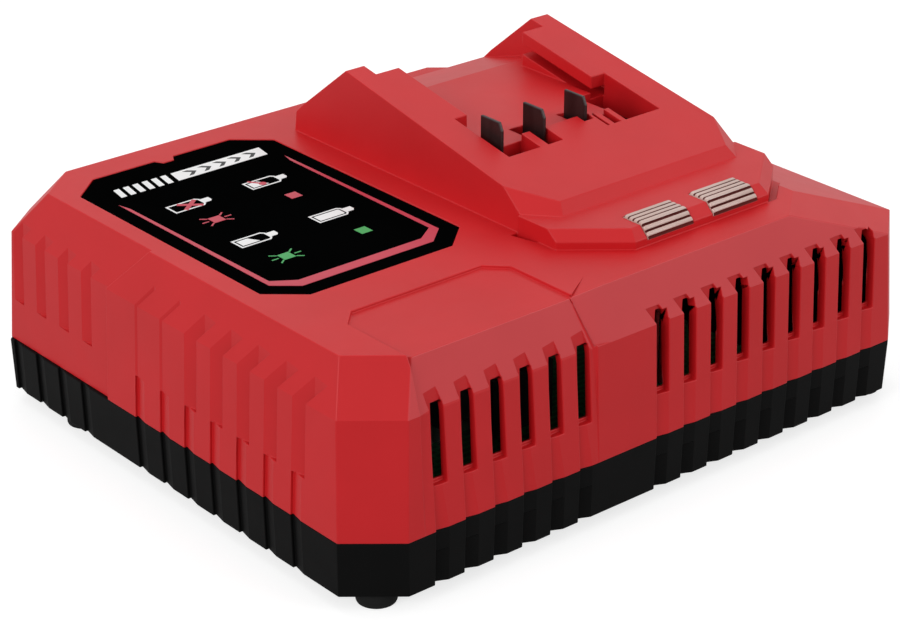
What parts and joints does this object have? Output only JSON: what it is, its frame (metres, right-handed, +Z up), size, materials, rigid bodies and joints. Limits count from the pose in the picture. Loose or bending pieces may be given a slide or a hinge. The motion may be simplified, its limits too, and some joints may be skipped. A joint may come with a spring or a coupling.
{
  "type": "power tool battery charger",
  "caption": "Mains rapid charger for slide-on tool battery packs: louvred red shell with a sloping rail dock on a black base tray, with electronics and a fan inside.",
  "frame": {"origin": "centre of the footprint, on the surface that the rubber feet stand on", "axes": "+X to the right along the long side, +Y to the rear where the cord leaves and the battery slides on, +Z up"},
  "size_m": [0.19, 0.162, 0.0848],
  "materials": {
    "red_shell": "satin moulded, fine texture",
    "black_base": "satin moulded",
    "rubber_foot": "matt",
    "screw_steel": "zinc plated",
    "label_black": "printed film, satin",
    "clear_lens": "clear moulded, ribbed",
    "board_green": "lacquered laminate",
    "wire_sleeve": "sleeved wire",
    "led_red_body": "moulded",
    "led_green_body": "moulded",
    "black_moulding": "moulded",
    "nickel_blade": "nickel plated",
    "connector_white": "moulded",
    "ferrite": "ground ferrite",
    "winding_tape": "yellow polyester tape",
    "capacitor_sleeve": "shrink sleeve",
    "copper_wire": "enamelled",
    "fuse_glass": "clear tube, plated caps",
    "heatsink_alloy": "extruded",
    "package_black": "moulded epoxy",
    "gland_rubber": "matt",
    "fan_plastic": "moulded"
  },
  "bodies": {
    "charger": {"board_connector": "connector_white", "board_screws": "screw_steel", "bridge_rectifier": "package_black", "choke_coil": "copper_wire", "contact_blade_data": "nickel_blade", "contact_blade_negative": "nickel_blade", "contact_blade_positive": "nickel_blade", "contact_block": "black_moulding", "contact_leads": "wire_sleeve", "control_chip": "package_black", "cord_clamp": "black_moulding", "cord_clamp_screws": "screw_steel", "cord_gland": "gland_rubber", "fan_frame": "black_moulding", "housing_screws": "screw_steel", "led_board": "board_green", "led_green": "led_green_body", "led_leads": "wire_sleeve", "led_lens_left": "clear_lens", "led_lens_right": "clear_lens", "led_red": "led_red_body", "lower_housing": "black_base", "main_circuit_board": "board_green", "mains_capacitor": "capacitor_sleeve", "mains_connector": "connector_white", "mains_fuse": "fuse_glass", "output_capacitors": "capacitor_sleeve", "output_diode": "package_black", "power_transistor": "package_black", "rectifier_heatsink": "heatsink_alloy", "rubber_feet": "rubber_foot", "status_label": "label_black", "switch_heatsink": "heatsink_alloy", "transformer_bobbin": "black_moulding", "transformer_core": "ferrite", "transformer_winding": "winding_tape", "upper_housing": "red_shell"},
    "rotor": {"fan_rotor": "fan_plastic"}
  },
  "joints": [
    {"name": "fan_spin", "type": "hinge", "parent": "charger", "child": "rotor", "pos_m": [0.0834, -0.003, 0.0265], "axis": [1, 0, 0], "continuous": true}
  ]
}
